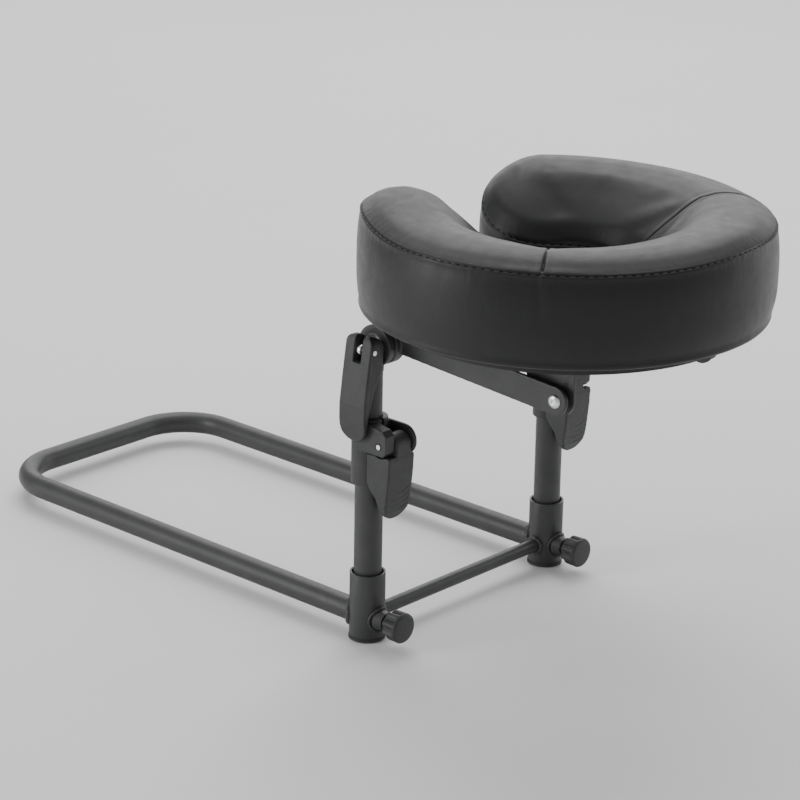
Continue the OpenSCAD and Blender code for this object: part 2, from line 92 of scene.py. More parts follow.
# ---------- materials ----------
class Nodes:
    """A short way to write a node tree."""

    def __init__(self, name):
        self.mat = bpy.data.materials.new(name)
        self.mat.use_nodes = True
        self.tree = self.mat.node_tree
        self.bsdf = self.tree.nodes["Principled BSDF"]
        self.bsdf.inputs["Base Color"].default_value = (0.02, 0.02, 0.02, 1)
        coord = self.tree.nodes.new("ShaderNodeTexCoord")
        self.here = coord.outputs["Object"]

    def node(self, kind, links=(), **values):
        n = self.tree.nodes.new("ShaderNode" + kind)
        for key, value in values.items():
            if key in n.bl_rna.properties:
                setattr(n, key, value)
            else:
                n.inputs[key.replace("_", " ")].default_value = value
        for key, source in dict(links).items():
            self.tree.links.new(source, n.inputs[key])
        return n

    def noise(self, scale, detail=3.0, rough=0.55, stretch=None, distortion=0.0):
        vector = self.here
        if stretch:
            vector = self.node("Mapping", {"Vector": vector}, Scale=stretch).outputs[0]
        n = self.node("TexNoise", {"Vector": vector}, Scale=scale, Detail=detail,
                      Roughness=rough, Distortion=distortion)
        return n.outputs["Fac"]

    def cells(self, scale, feature="F1", randomness=1.0):
        n = self.node("TexVoronoi", {"Vector": self.here}, feature=feature, Scale=scale,
                      Randomness=randomness)
        return n.outputs["Distance"]

    def ramp(self, source, low, high, at=(0.3, 0.7)):
        n = self.node("ValToRGB", {"Fac": source})
        for stop, value, where in zip(n.color_ramp.elements, (low, high), at):
            stop.color = (*value, 1) if hasattr(value, "__len__") else (value, value, value, 1)
            stop.position = where
        return n.outputs["Color"]

    def mix(self, fac, a, b):
        n = self.node("Mix", data_type="RGBA")
        self.tree.links.new(fac, n.inputs[0])
        self.tree.links.new(a, n.inputs[6])
        self.tree.links.new(b, n.inputs[7])
        return n.outputs[2]

    def maths(self, operation, a, b):
        n = self.node("Math", operation=operation)
        for i, v in enumerate((a, b)):
            if isinstance(v, (int, float)):
                n.inputs[i].default_value = v
            else:
                self.tree.links.new(v, n.inputs[i])
        return n.outputs[0]

    def bump(self, height, strength, distance, under=None):
        links = {"Height": height}
        if under is not None:
            links["Normal"] = under
        return self.node("Bump", links, Strength=strength, Distance=distance).outputs[0]

    def out(self, color=None, rough=None, normal=None, **fixed):
        for key, source in (("Base Color", color), ("Roughness", rough), ("Normal", normal)):
            if source is not None:
                self.tree.links.new(source, self.bsdf.inputs[key])
        for key, value in fixed.items():
            self.bsdf.inputs[key.replace("_", " ")].default_value = value
        return self.mat


def powder_coat():
    n = Nodes("powder_coat")
    tint = n.ramp(n.noise(45, 4), (0.038, 0.0385, 0.040), (0.050, 0.0505, 0.052))
    rough = n.ramp(n.noise(240, 4), 0.36, 0.50)
    peel = n.bump(n.noise(1500, 3, 0.5), 0.35, 0.00012)
    fleck = n.bump(n.cells(2600), 0.2, 0.00006, peel)
    return n.out(tint, rough, fleck, Specular_IOR_Level=0.5)


def moulded_plastic():
    n = Nodes("moulded_plastic")
    tint = n.ramp(n.noise(60, 3), (0.034, 0.0345, 0.036), (0.046, 0.0465, 0.048))
    rough = n.ramp(n.noise(500, 4), 0.42, 0.58)
    grain = n.bump(n.noise(2600, 4, 0.65), 0.5, 0.00010)
    pits = n.bump(n.cells(3400), 0.25, 0.00006, grain)
    return n.out(tint, rough, pits, Specular_IOR_Level=0.45)


def soft_leather():
    n = Nodes("satin_pu_leather")
    wide = n.noise(14, 3)
    tint = n.ramp(wide, (0.0115, 0.0117, 0.0128), (0.0155, 0.0157, 0.0166))
    cell = n.cells(1150, "DISTANCE_TO_EDGE")
    fine = n.cells(2300, "DISTANCE_TO_EDGE")
    crease = n.ramp(cell, 0.0, 1.0, (0.0, 0.16))
    pore = n.ramp(fine, 0.0, 1.0, (0.0, 0.2))
    rough = n.mix(crease, n.ramp(n.noise(90, 4), 0.42, 0.52), n.ramp(n.noise(90, 4), 0.33, 0.42))
    b = n.bump(crease, 0.22, 0.00010)
    b = n.bump(pore, 0.10, 0.00005, b)
    b = n.bump(n.noise(120, 3, 0.5, (1, 1, 0.35)), 0.25, 0.0006, b)
    return n.out(tint, rough, b, Specular_IOR_Level=0.40)


def lining():
    n = Nodes("underside_cloth")
    warp = n.node("TexWave", {"Vector": n.here}, bands_direction="X", Scale=330.0).outputs["Fac"]
    weft = n.node("TexWave", {"Vector": n.here}, bands_direction="Y", Scale=330.0).outputs["Fac"]
    weave = n.maths("MULTIPLY", warp, weft)
    tint = n.mix(weave, n.ramp(n.noise(70), 0.006, 0.010), n.ramp(n.noise(70), 0.014, 0.022))
    return n.out(tint, n.ramp(n.noise(400), 0.8, 0.95), n.bump(weave, 0.5, 0.0002),
                 Sheen_Weight=0.2, Sheen_Roughness=0.5)


def tape(name, dark, light, scale):
    n = Nodes(name)
    pile = n.cells(scale)
    tint = n.ramp(pile, dark, light, (0.1, 0.8))
    return n.out(tint, n.ramp(n.noise(600), 0.75, 0.95), n.bump(pile, 0.8, 0.0005),
                 Sheen_Weight=0.3, Sheen_Roughness=0.6)


def stained_ply():
    n = Nodes("stained_ply")
    streak = n.noise(60, 5, 0.6, (1, 9, 14), 0.6)
    tint = n.ramp(streak, (0.012, 0.0115, 0.011), (0.030, 0.028, 0.026), (0.35, 0.7))
    return n.out(tint, n.ramp(streak, 0.45, 0.65), n.bump(streak, 0.3, 0.0003))


def zinc():
    n = Nodes("zinc_plate")
    tint = n.ramp(n.noise(160, 3), (0.80, 0.81, 0.82), (0.90, 0.905, 0.91))
    turned = n.noise(900, 3, 0.6, (1, 0.15, 0.15))
    return n.out(tint, n.ramp(turned, 0.26, 0.40), n.bump(turned, 0.15, 0.00008), Metallic=1.0)


def thread():
    n = Nodes("black_thread")
    twist = n.node("TexWave", {"Vector": n.here}, bands_direction="DIAGONAL",
                   Scale=900.0).outputs["Fac"]
    tint = n.ramp(n.noise(200), 0.002, 0.005)
    return n.out(tint, n.ramp(twist, 0.75, 0.92), n.bump(twist, 0.6, 0.0002),
                 Specular_IOR_Level=0.2)


def floor_paint():
    n = Nodes("pale_floor")
    tint = n.ramp(n.noise(1.3, 2), (0.86, 0.86, 0.87), (0.89, 0.89, 0.90))
    return n.out(tint, n.ramp(n.noise(3), 0.7, 0.8))


MATS = {
    "frame": powder_coat(), "plastic": moulded_plastic(), "leather": soft_leather(),
    "bright": zinc(), "board": stained_ply(), "lining": lining(), "thread": thread(),
    "hook": tape("hook_tape", 0.004, 0.016, 1500), "loop": tape("loop_tape", 0.010, 0.030, 900),
}


# ---------- mesh helpers ----------
def make(name, verts, faces, mat, body, stands_for=(), sharp=35):
    me = bpy.data.meshes.new(name)
    me.from_pydata([tuple(v) for v in verts], [], [tuple(int(i) for i in f) for f in faces])
    me.validate()
    return finish_piece(name, me, mat, body, stands_for, sharp)


def finish_piece(name, me, mat, body, stands_for=(), sharp=35):
    ob = bpy.data.objects.new(name, me)
    scene.collection.objects.link(ob)
    bm = bmesh.new()
    bm.from_mesh(me)
    bmesh.ops.recalc_face_normals(bm, faces=bm.faces)
    bm.to_mesh(me)
    bm.free()
    me.materials.clear()
    me.materials.append(MATS[mat])
    me.shade_smooth()
    me.set_sharp_from_angle(angle=math.radians(sharp))
    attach(ob, body)
    if stands_for:
        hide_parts(*stands_for)
    return ob


def baked(ob):
    """The mesh of ob with its modifiers, as a new mesh; ob is removed."""
    dg = bpy.context.evaluated_depsgraph_get()
    me = bpy.data.meshes.new_from_object(ob.evaluated_get(dg))
    bpy.data.objects.remove(ob)
    return me


def welded(node):
    """A new object with the node's own surface, its vertices joined."""
    me = NODES[node].data.copy()
    bm = bmesh.new()
    bm.from_mesh(me)
    bmesh.ops.remove_doubles(bm, verts=bm.verts, dist=2e-6)
    bmesh.ops.dissolve_degenerate(bm, edges=bm.edges, dist=1e-6)
    bm.to_mesh(me)
    bm.free()
    ob = bpy.data.objects.new(node + "_work", me)
    scene.collection.objects.link(ob)
    return ob


def moulded(node, voxel, rounds):
    """The node's shape with every edge rounded as a moulding has them, as a mesh."""
    ob = welded(node)
    r = ob.modifiers.new("remesh", "REMESH")
    r.mode, r.voxel_size, r.adaptivity = "VOXEL", voxel, 0
    s = ob.modifiers.new("smooth", "SMOOTH")
    s.factor, s.iterations = 0.5, rounds
    return baked(ob)


def bevelled(node, width, segments=3, angle=40):
    """The node's shape with a small even round on its sharp edges, as a mesh."""
    ob = welded(node)
    bm = bmesh.new()
    bm.from_mesh(ob.data)
    bmesh.ops.dissolve_limit(bm, angle_limit=math.radians(0.6), verts=bm.verts, edges=bm.edges,
                             use_dissolve_boundaries=False)
    bm.to_mesh(ob.data)
    bm.free()
    b = ob.modifiers.new("bevel", "BEVEL")
    b.width, b.segments, b.limit_method = width, segments, "ANGLE"
    b.angle_limit, b.use_clamp_overlap = math.radians(angle), True
    return baked(ob)


def coords(me):
    co = np.zeros(len(me.vertices) * 3, np.float32)
    me.vertices.foreach_get("co", co)
    return co.reshape(-1, 3).astype(float)


def set_coords(me, co):
    me.vertices.foreach_set("co", np.asarray(co, np.float32).ravel())
    me.update()


def mirrored(me, name):
    """A copy of the mesh on the other side of the YZ plane."""
    other = me.copy()
    other.name = name
    other.transform(Matrix.Diagonal((-1, 1, 1, 1)))
    other.flip_normals()
    return other


def swept(points, radius, sides=12, closed=True, ripple=0.0, pitch=0.004):
    """Vertices and faces of a bead along points, with a gentle ripple in its radius."""
    pts = np.asarray(points, float)
    n = len(pts)
    nxt, prv = np.roll(pts, -1, 0), np.roll(pts, 1, 0)
    if not closed:
        nxt[-1], prv[0] = pts[-1], pts[0]
    tan = nxt - prv
    tan /= np.linalg.norm(tan, axis=1)[:, None]
    ref = np.array([0.31, 0.22, 0.93])
    a = np.cross(tan, ref)
    a /= np.linalg.norm(a, axis=1)[:, None]
    b = np.cross(tan, a)
    run = np.concatenate([[0], np.cumsum(np.linalg.norm(np.diff(pts, axis=0), axis=1))])
    r = np.asarray(radius) * (1 + ripple * np.sin(2 * math.pi * run / pitch))
    verts = []
    for k in range(sides):
        w = 2 * math.pi * k / sides
        verts.append(pts + (a * math.cos(w) + b * math.sin(w)) * np.broadcast_to(r, (n,))[:, None])
    verts = np.stack(verts, 1).reshape(-1, 3)
    faces = []
    for i in range(n if closed else n - 1):
        j = (i + 1) % n
        for k in range(sides):
            m = (k + 1) % sides
            faces.append((i * sides + k, i * sides + m, j * sides + m, j * sides + k))
    if not closed:
        faces.append(tuple(range(sides))[::-1])
        faces.append(tuple((n - 1) * sides + k for k in range(sides)))
    return verts, faces


def joined(parts):
    """Several (verts, faces) as one."""
    verts, faces, base = [], [], 0
    for v, f in parts:
        verts.append(v)
        faces += [tuple(i + base for i in q) for q in f]
        base += len(v)
    return np.vstack(verts), faces


def turned(profile, centre, axis, steps=96):
    """A lathe shape: profile is (along, radius) pairs from one end to the other."""
    axis = Vector(axis).normalized()
    a = axis.orthogonal().normalized()
    b = axis.cross(a)
    verts, rings = [], []
    for along, radius in profile:
        c = Vector(centre) + axis * along
        if radius < 1e-7:
            rings.append([len(verts)])
            verts.append(tuple(c))
            continue
        rings.append([len(verts) + k for k in range(steps)])
        for k in range(steps):
            w = 2 * math.pi * k / steps
            verts.append(tuple(c + (a * math.cos(w) + b * math.sin(w)) * radius))
    faces = []
    for p, q in zip(rings, rings[1:]):
        for k in range(steps):
            m = (k + 1) % steps
            if len(p) == 1:
                faces.append((p[0], q[m], q[k]))
            elif len(q) == 1:
                faces.append((p[k], p[m], q[0]))
            else:
                faces.append((p[k], p[m], q[m], q[k]))
    for ring, turn in ((rings[0], 1), (rings[-1], -1)):
        if len(ring) > 1:
            faces.append(tuple(ring[::turn]))
    return np.array(verts), faces


# ---------- carried-over frame pieces ----------
def dress(node, mat):
    me = NODES[node].data
    me.materials.clear()
    me.materials.append(MATS[mat])


def keep_nodes():
    slots = {s["node"]: s["material_slot"] for s in frame["record"]["subparts"]}
    for node in NODES:
        mat = slots[node]
        dress(node, mat if mat in MATS else "lining")


def round_over(node, body, mat, width, segments=3, twin=None):
    """Swaps a node, and its mirror twin, for the same shape with rounded edges."""
    me = bevelled(node, width, segments)
    if twin:
        finish_piece(twin + "_edged", mirrored(me, twin), mat, body, (twin,), 30)
    return finish_piece(node + "_edged", me, mat, body, (node,), 30)


# ---------- cushion ----------
BASE_LO, BASE_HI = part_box("cover_base")
HALF_W = (BASE_HI.x - BASE_LO.x) / 2
CEN = Vector((0, BASE_LO.y + HALF_W, BASE_LO.z))
R_OUT, R_IN, LOBE = HALF_W, 0.054, math.radians(138.4)
R_MID, R_TIP = (R_OUT + R_IN) / 2, (R_OUT - R_IN) / 2
CROSS = math.radians(57)
Z0 = BASE_LO.z
BAND_H = 0.070
Z_SEAM, Z_IN = Z0 + BAND_H, Z0 + 0.031
STITCH = 0.0068             # length of one stitch
HEM = 0.0042                # height of the roll along the bottom edge
PUCKER = 0.0004             # height of the pucker in the band
SEAM_DEEP = 0.00115         # depth of the outer seam's groove
CROSS_DEEP = 0.0012         # depth of the cross seams' grooves
CLOTH_FRAMES = 20
CLOTH_LIMIT = 0.0010        # furthest that the cloth simulation may move a point


def crown(r):
    """Height of the top panels at radius r from the cushion's centre."""
    rs = np.array([54, 61, 70, 78, 84, 91, 98, 107, 117, 126, 136, 143, 149, 154.5]) * MM
    zs = np.array([31, 47, 55, 61.5, 66, 71.5, 76.5, 80.5, 82.4, 82.4, 80.8, 78, 74.4, 70]) * MM
    fine = np.linspace(rs[0], rs[-1], 400)
    z = np.interp(fine, rs, zs)
    for _ in range(40):
        z[1:-1] = (z[:-2] + 2 * z[1:-1] + z[2:]) / 4
    return Z0 + np.interp(r, fine, z)


class Outline:
    """The closed outline of the cushion seen from above, as columns of points."""

    def __init__(self, arc, tip, cluster):
        th = np.linspace(-1, 1, arc + 1)
        if cluster:  # columns crowd together at the two cross seams
            q = CROSS / LOBE
            for s in (-q, q):
                th = th - 0.019 * np.sin(np.clip((th - s) * math.pi / 0.12, -math.pi, math.pi))
            th = np.sort(th)
        th = th * LOBE
        ph = np.linspace(0, math.pi, tip + 1)[1:-1]
        kind = ["o"] * len(th) + ["f"] * len(ph) + ["i"] * len(th) + ["n"] * len(ph)
        self.kind = np.array(kind)
        self.val = np.concatenate([th, ph, th[::-1], ph])
        self.n = len(kind)
        # centre vertices: the two sides of the ring share them, and so does each tip
        m = len(th)
        near, far = 0, m - 1
        self.core = np.concatenate([
            np.arange(m), np.full(len(ph), far), np.arange(m)[::-1], np.full(len(ph), near)])
        self.n_core = m

    def at(self, d):
        """Points in plan at distance d in from the outline, with weight 1 outside to 0 inside."""
        xy = np.zeros((self.n, 2))
        w = np.zeros(self.n)
        rad = np.zeros((self.n, 2))
        for k, side in (("o", 0), ("i", 0), ("f", 1), ("n", -1)):
            s = self.kind == k
            v = self.val[s]
            if k in "oi":
                r = R_OUT - d if k == "o" else R_IN + d
                dirs = np.stack([np.sin(v), -np.cos(v)], 1)
                xy[s] = dirs * r
                w[s] = 1.0 if k == "o" else 0.0
                rad[s] = dirs * (1 if k == "o" else -1)
            else:
                a = LOBE * side
                out = np.array([math.sin(a), -math.cos(a)])
                tan = np.array([math.cos(a), math.sin(a)]) * side
                c = np.cos(v) if side > 0 else -np.cos(v)
                dirs = c[:, None] * out + np.sin(v)[:, None] * tan
                xy[s] = out * R_MID + dirs * (R_TIP - d)
                w[s] = (1 + c) / 2
                rad[s] = dirs
        xy[:, 0] += CEN.x
        xy[:, 1] += CEN.y
        return xy, w, rad

    def run(self):
        """Length along the outline at each column."""
        xy, _, _ = self.at(0)
        step = np.linalg.norm(np.diff(np.vstack([xy, xy[:1]]), axis=0), axis=1)
        return np.concatenate([[0], np.cumsum(step)[:-1]]), step.sum()

    def angle(self):
        """Angle round the ring at each column, held at the lobe's end in the tips."""
        ends = np.where(self.kind == "f", LOBE, -LOBE)
        return np.where(np.isin(self.kind, ["o", "i"]), self.val, ends)


def seam_height(w):
    return Z_IN + (Z_SEAM - Z_IN) * np.asarray(w) ** 1.25


def top_height(d, w):
    outer, inner = crown(R_OUT - d), crown(R_IN + d)
    w = np.asarray(w) ** 1.25
    return w * outer + (1 - w) * inner


def settled(verts):
    """The hand-made unevenness of the stuffing: the cam-side lobe stands a little higher at
    its end, its inner slope is a little flatter, and the other side is pulled out slightly."""
    out = np.array(verts, float)
    dx, dy = out[:, 0] - CEN.x, out[:, 1] - CEN.y
    turn, r = np.degrees(np.arctan2(dx, -dy)), np.hypot(dx, dy)
    high = np.clip((out[:, 2] - Z0) / (Z_SEAM - Z0), 0, 1.1)
    rise = np.clip((np.abs(turn) - 98) / 42, 0, 1)
    rise = rise * rise * (3 - 2 * rise) * np.where(turn < 0, 6.0, 1.2)
    front = 2.2 * np.exp(-((turn - 8) / 20) ** 2) * np.clip((r - 0.125) / 0.03, 0, 1)
    flat = 4.6 * np.exp(-((turn + 50) / 34) ** 2 - ((r - 0.105) / 0.017) ** 2)
    flat = flat * (out[:, 2] > Z_IN + 0.02)
    out[:, 2] += (rise * high ** 1.5 + front * high ** 1.5 - flat) * MM
    wide = 2.0 * np.exp(-((turn - 48) / 42) ** 2) * np.clip((r - 0.120) / 0.035, 0, 1) * MM
    grow = 1 + wide * np.clip(high * 4, 0, 1) / np.maximum(r, 1e-6)
    out[:, 0], out[:, 1] = CEN.x + dx * grow, CEN.y + dy * grow
    return out


def shell(line, top_rows, wall_rows, base_rows):
    """Closed cushion surface. Rows are distances in millimetres: in from the seam on top,
    down from the seam on the band (as shares of its height), in from the edge below."""
    grid, meta = [], []
    for d in top_rows:
        xy, w, _ = line.at(d * MM)
        grid.append(np.column_stack([xy, top_height(d * MM, w)]))
        meta.append(("top", d))
    _, w, rad = line.at(0)
    seam = seam_height(w)
    wall = []
    for h in wall_rows:
        belly = 0.0036 * (1 - abs(2 * min(1, h) - 1) ** 2.8) - 0.0012 * max(0, (h - 0.95) / 0.05) ** 2
        xy, _, _ = line.at(0)
        xy = xy + rad * (belly * (0.35 + 0.65 * w))[:, None]
        wall.append(np.column_stack([xy, seam + (Z0 - seam) * h]))
        meta.append(("wall", h))
    base = []
    for d in base_rows:
        xy, _, _ = line.at(d * MM)
        base.append(np.column_stack([xy, np.full(line.n, Z0)]))
        meta.append(("base", d))
    rows = grid[::-1] + wall + base  # from the top's centre line outwards, down and in again
    order = meta[:len(grid)][::-1] + meta[len(grid):]
    verts = np.vstack(rows)
    n = line.n
    count = len(rows)
    core_top = len(verts)
    xy, w, _ = line.at(R_TIP)
    first = np.array([np.argmax(line.core == c) for c in range(line.n_core)])
    ct = np.column_stack([xy[first], top_height(R_TIP, np.full(line.n_core, 1.0))])
    cb = np.column_stack([xy[first], np.full(line.n_core, Z0)])
    verts = np.vstack([verts, ct, cb])
    core_base = core_top + line.n_core
    faces = []
    for i in range(count - 1):
        for j in range(n):
            k = (j + 1) % n
            faces.append((i * n + j, (i + 1) * n + j, (i + 1) * n + k, i * n + k))
    for row, start, turn in ((0, core_top, 1), (count - 1, core_base, -1)):
        for j in range(n):
            k = (j + 1) % n
            a, b = start + line.core[j], start + line.core[k]
            f = (row * n + j, row * n + k, b, a) if a != b else (row * n + j, row * n + k, a)
            faces.append(f[::turn])
    return settled(verts), faces, order, core_top


def puff(limit):
    """Runs the cover as cloth over a stuffed form and gives how far each point of a coarse
    grid moved, as arrays for the top rows, the band rows and the centre line."""
    line = Outline(170, 36, False)
    top = [0, 2.5, 6, 10, 14, 18, 22, 26, 30, 34, 38, 42, 46]
    wall = [0.05, 0.12, 0.2, 0.3, 0.4, 0.5, 0.6, 0.7, 0.8, 0.9, 1.0]
    verts, faces, order, core = shell(line, top, wall, [8, 20, 34])
    me = bpy.data.meshes.new("cover_cloth")
    me.from_pydata(verts.tolist(), [], faces)
    ob = bpy.data.objects.new("cover_cloth", me)
    scene.collection.objects.link(ob)
    ang, n = line.angle(), line.n
    cross = np.abs(np.abs(ang) - CROSS) < 0.6 * LOBE / 85
    cross &= np.isin(line.kind, ["o", "i"])
    pins = []
    for i, (part, d) in enumerate(order):
        if part == "base" or (part, d) in (("top", 0), ("wall", 1.0)):
            pins += list(range(i * n, (i + 1) * n))
        elif part == "top":
            pins += [i * n + j for j in np.flatnonzero(cross)]
    on_core = np.abs(np.abs(ang[[np.argmax(line.core == c) for c in range(line.n_core)]])
                     - CROSS) < 0.6 * LOBE / 85
    pins += [core + int(c) for c in np.flatnonzero(on_core)]
    pins += list(range(core + line.n_core, len(verts)))
    group = ob.vertex_groups.new(name="sewn")
    group.add(sorted(set(int(p) for p in pins)), 1.0, "REPLACE")
    mod = ob.modifiers.new("cloth", "CLOTH")
    s = mod.settings
    s.quality, s.mass, s.air_damping = 6, 0.35, 2.0
    s.tension_stiffness = s.compression_stiffness = 22
    s.shear_stiffness, s.bending_stiffness = 12, 6.0
    s.use_pressure, s.uniform_pressure_force = True, 4.0
    s.vertex_group_mass = "sewn"
    s.shrink_min = 0.012
    s.effector_weights.gravity = 0
    mod.collision_settings.use_collision = False
    mod.point_cache.frame_start, mod.point_cache.frame_end = 1, CLOTH_FRAMES
    for f in range(1, CLOTH_FRAMES + 1):
        scene.frame_set(f)
    dg = bpy.context.evaluated_depsgraph_get()
    moved = coords(ob.evaluated_get(dg).data) - verts
    scene.frame_set(1)
    bpy.data.objects.remove(ob)
    size = np.linalg.norm(moved, axis=1)
    moved *= (np.minimum(size, limit) / np.maximum(size, 1e-9))[:, None]
    rows = {}
    for i, (part, d) in enumerate(order):
        row = moved[i * n:(i + 1) * n]
        for _ in range(6):
            row = (np.roll(row, 1, 0) + 2 * row + np.roll(row, -1, 0)) / 4
        rows[(part, d)] = row
    return line, top, wall, rows, moved[core:core + line.n_core]


def carried(line, result, part, d):
    """The cloth's movement at a finer outline's columns, for one row."""
    coarse, top, wall, rows, core = result
    steps = top if part == "top" else wall
    if part == "top":
        steps = top + [R_TIP / MM]
    get = {s: rows[(part, s)] for s in steps if (part, s) in rows}
    if part == "top":
        get[steps[-1]] = core[coarse.core]
    else:
        steps = [0.0] + wall
        get[0.0] = rows[("top", 0)]
    j = int(np.clip(np.searchsorted(steps, d, "right") - 1, 0, len(steps) - 2))
    t = min(1.0, max(0.0, (d - steps[j]) / (steps[j + 1] - steps[j])))
    here = get[steps[j]] * (1 - t) + get[steps[j + 1]] * t
    cs, total = coarse.run()
    fs, whole = line.run()
    cs, fs = cs / total, fs / whole
    wrap = np.concatenate([cs, [1.0]])
    return np.column_stack([np.interp(fs, wrap, np.append(here[:, k], here[0, k])) for k in range(3)])


def groove(dist, deep, wide, roll, away=2.8):
    """Depth of a sewn seam at a distance from it: a narrow valley between two soft rolls."""
    rolls = roll * np.exp(-((dist - away * MM) / (away * MM * 0.75)) ** 2)
    return -deep * np.exp(-(dist / wide) ** 2) + rolls


def folds(xy):
    """Soft creases in the top panels: place, direction, length, width and height in mm."""
    out = np.zeros(len(xy))
    for x, y, turn, long, wide, high in (
            (-95, -10, 35, 17, 3.2, 0.75), (-88, -22, 20, 15, 3.0, -0.55), (-106, -22, 62, 16, 3.4, 0.5),
            (-76, -2, -8, 12, 3.0, 0.4), (62, 4, 60, 12, 3.0, 0.55), (76, -4, 40, 14, 3.4, -0.4),
            (34, -222, 82, 20, 5.0, 0.28), (52, -214, 70, 22, 5.5, -0.28), (70, -204, 62, 18, 4.5, 0.25),
            (-12, -226, 96, 18, 6.0, -0.2), (100, -60, 10, 22, 6.0, 0.3), (-112, -92, 95, 22, 6.0, -0.3)):
        a = math.radians(turn)
        dx, dy = xy[:, 0] / MM - x, xy[:, 1] / MM - y
        along, across = dx * math.cos(a) + dy * math.sin(a), -dx * math.sin(a) + dy * math.cos(a)
        across = across - along ** 2 / (4.5 * long)
        out += high * MM * np.exp(-(along / long) ** 2 - (across / wide) ** 2)
    return out


def build_cushion():
    result = puff(CLOTH_LIMIT)
    line = Outline(620, 96, True)
    n = line.n
    top = [0, .3, .65, 1.05, 1.5, 2.1, 2.9, 3.9, 5.2, 6.8, 8.7, 11, 13.5, 16.2, 19, 22, 25, 28, 31, 34,
           37, 40, 43, 45.5, 48]
    wall_mm = [.3, .65, 1.05, 1.5, 2.1, 2.9, 3.9, 5.2, 7, 9.5, 12.5, 16, 20, 25, 30, 35, 40, 45, 50,
               55, 59, 62, 64.5, 66.3, 67.6, 68.5, 69.2, 69.7, 70]
    wall = [h / 70 for h in wall_mm]
    base = [1.2, 2.4, 3.2, 3.8, 4.6, 6, 9, 14, 20, 28, 36, 44]
    verts, faces, order, core = shell(line, top, wall, base)
    plain = bpy.data.meshes.new("plain")
    plain.from_pydata(verts.tolist(), [], faces)
    plain.update()
    bm = bmesh.new()
    bm.from_mesh(plain)
    bmesh.ops.recalc_face_normals(bm, faces=bm.faces)
    bm.normal_update()
    normal = np.array([v.normal[:] for v in bm.verts])
    bm.free()
    run, whole = line.run()
    count = round(whole / STITCH)
    phase = run / whole * count * 2 * math.pi
    pull = 0.5 + 0.5 * np.cos(phase)
    jitter = np.array([noise.noise(Vector((r * 190, 3.1, 0))) for r in run])
    slow = np.array([noise.noise(Vector((r * 38, 8.7, 2))) for r in run])
    ang = line.angle()
    ringed = np.isin(line.kind, ["o", "i"])
    move = np.zeros_like(verts)
    rise = np.zeros(len(verts))
    seam_h = seam_height(line.at(0)[1]) - Z0
    for i, (part, d) in enumerate(order):
        s = slice(i * n, (i + 1) * n)
        if part == "base":
            rise[s] = 0.0012 * math.exp(-((d - 3.0) / 0.8) ** 2) * -1
            continue
        if result:
            move[s] = carried(line, result, part, d)
        dist = d * MM if part == "top" else d * seam_h
        deep = SEAM_DEEP * (0.82 + 0.22 * pull) * (1 + 0.2 * jitter)
        roll = 0.00042 if part == "top" else 0.00050
        rise[s] += groove(dist, deep, 0.00085, roll * (1 - 0.15 * pull))
        ripple = 0.00007 if part == "top" else 0.00010
        rise[s] += ripple * (np.sin(phase * 0.5 + 5 * jitter) + 1.1 * jitter) * np.exp(-dist / 0.0065) \
            * (1 - np.exp(-dist / 0.0009))
        rise[s] += 0.0003 * slow * np.exp(-((dist - 0.02) / 0.03) ** 2) * (part == "wall")
        if part == "top":
            rise[s] += folds(verts[s][:, :2])
            r = np.linalg.norm(verts[s][:, :2] - np.array([CEN.x, CEN.y]), axis=1)
            off = np.where(ringed, np.abs(np.abs(ang) - CROSS) * r, 1)
            pc = 0.5 + 0.5 * np.cos(2 * math.pi * r / STITCH)
            edge = min(1.0, d / 3.0)
            rise[s] += (groove(off, CROSS_DEEP * (0.85 + 0.2 * pc), 0.0007, 0.00045)
                        - 0.0009 * np.exp(-(off / 0.008) ** 2)) * edge
        else:
            off = np.where(line.kind == "o", np.abs(np.abs(ang) - CROSS) * R_OUT, 1)
            rise[s] += 0.00045 * np.exp(-(off / 0.0016) ** 2 - (dist / 0.008) ** 2)
            # a shallow pucker in the band beside the near cross seam
            off = np.where(line.kind == "o", (ang + math.radians(56)) * R_OUT, 1)
            off = off + 0.0005 * (d - 0.3)
            ridge = np.exp(-((off - 0.003) / 0.0045) ** 2)
            dip = np.exp(-((off + 0.004) / 0.0042) ** 2)
            rise[s] += (PUCKER * ridge - PUCKER * dip) * np.exp(-((d - 0.22) / 0.2) ** 2)
            # the bottom edge is turned over a thin roll
            foot = (1 - d) * BAND_H / HEM
            if foot < 1:
                rise[s] += 0.0007 * math.sin(math.pi * foot) ** 0.8 * (1 + 0.15 * slow)
            rise[s] -= 0.0004 * math.exp(-((foot - 1.15) / 0.22) ** 2)
    firsts = np.array([np.argmax(line.core == c) for c in range(line.n_core)])
    cs = slice(core, core + line.n_core)
    if result:
        move[cs] = carried(line, result, "top", R_TIP / MM)[firsts]
    off = np.abs(np.abs(ang[firsts]) - CROSS) * R_MID
    pc = 0.5 + 0.5 * math.cos(2 * math.pi * R_MID / STITCH)
    rise[cs] = groove(off, CROSS_DEEP * (0.85 + 0.2 * pc), 0.0007, 0.00045)
    rise[cs] -= 0.0009 * np.exp(-(off / 0.008) ** 2)
    rise[cs] += folds(verts[cs][:, :2])
    final = verts + move + normal * rise[:, None]
    ob = make("cushion_cover", final, faces, "leather", "platform",
              ("cushion_foam", "cover_base", "cover_band", "front_panel", "near_panel", "far_panel"), 75)
    ob.data.materials.append(MATS["lining"])
    below = np.array([p.center.z < Z0 + 0.0012 and p.normal.z < -0.7 for p in ob.data.polygons])
    ob.data.polygons.foreach_set("material_index", below.astype(np.int32))
